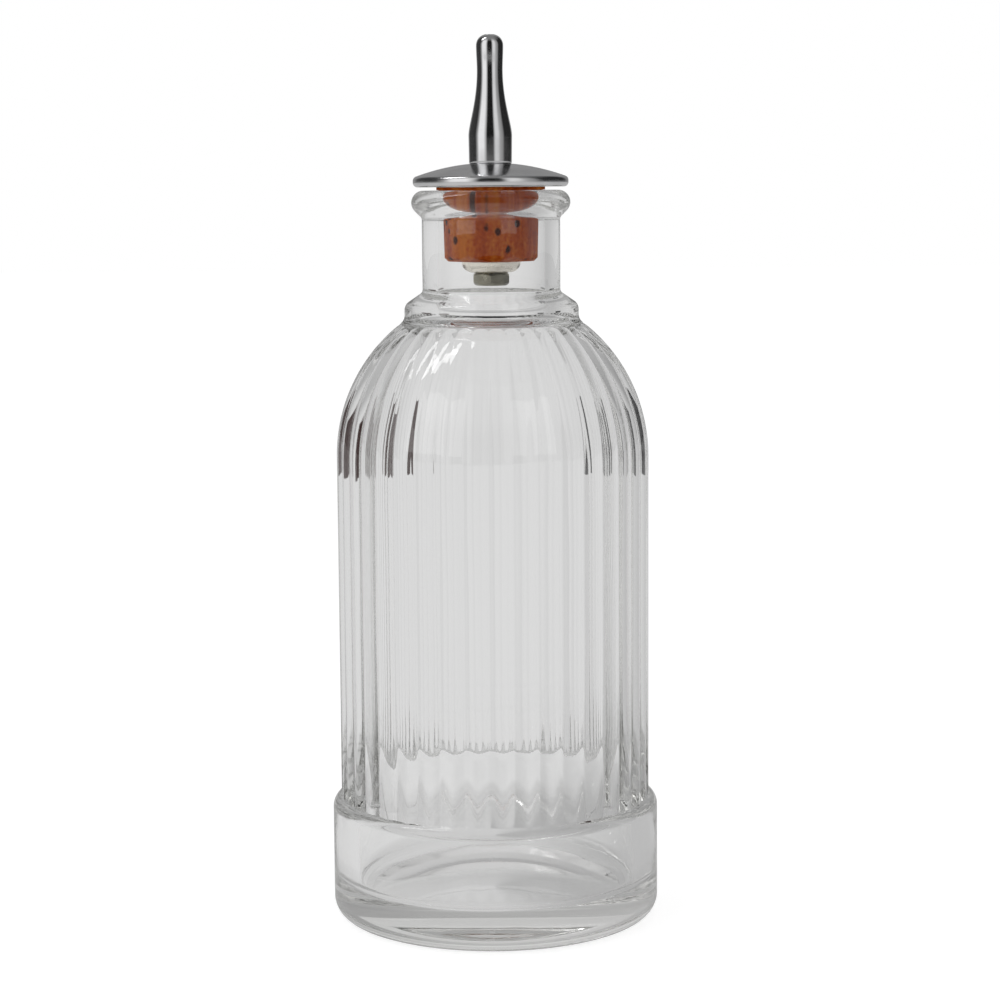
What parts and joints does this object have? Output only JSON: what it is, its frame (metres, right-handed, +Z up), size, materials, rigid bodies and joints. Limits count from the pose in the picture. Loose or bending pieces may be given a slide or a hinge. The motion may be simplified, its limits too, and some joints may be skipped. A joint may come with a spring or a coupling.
{
  "type": "bitters bottle",
  "caption": "Clear reeded glass bottle with a domed shoulder and plain base band, closed by a tapered cork that carries a chromed dasher spout.",
  "frame": {"origin": "on the bottle's axis, in the plane that the bottle stands on", "axes": "+Z up along the bottle's axis towards the spout, -Y towards the pictured front, +X to its right"},
  "size_m": [0.066, 0.066, 0.1772],
  "materials": {
    "clear_glass": "fire-polished, clear",
    "natural_cork": "matt, fine grained with dark pores",
    "bright_chrome": "polished chrome plate",
    "stem_brass": "turned, plated",
    "plated_steel": "pressed, bright nickel plate",
    "nut_steel": "dulled plate"
  },
  "bodies": {
    "bottle": {"glass_bottle": "clear_glass"},
    "cork": {"cork_stopper": "natural_cork"},
    "dasher": {"dasher_flange": "bright_chrome", "dasher_spout": "bright_chrome", "dasher_stem": "stem_brass", "cup_washer": "plated_steel", "lock_nut": "nut_steel"}
  },
  "joints": [
    {"name": "stopper_pull", "type": "slide", "parent": "bottle", "child": "cork", "axis": [0, 0, 1], "range_m": [0, 0.03]},
    {"name": "dasher_twist", "type": "hinge", "parent": "cork", "child": "dasher", "pos_m": [0, 0, 0.1473], "axis": [0, 0, 1], "continuous": true}
  ]
}
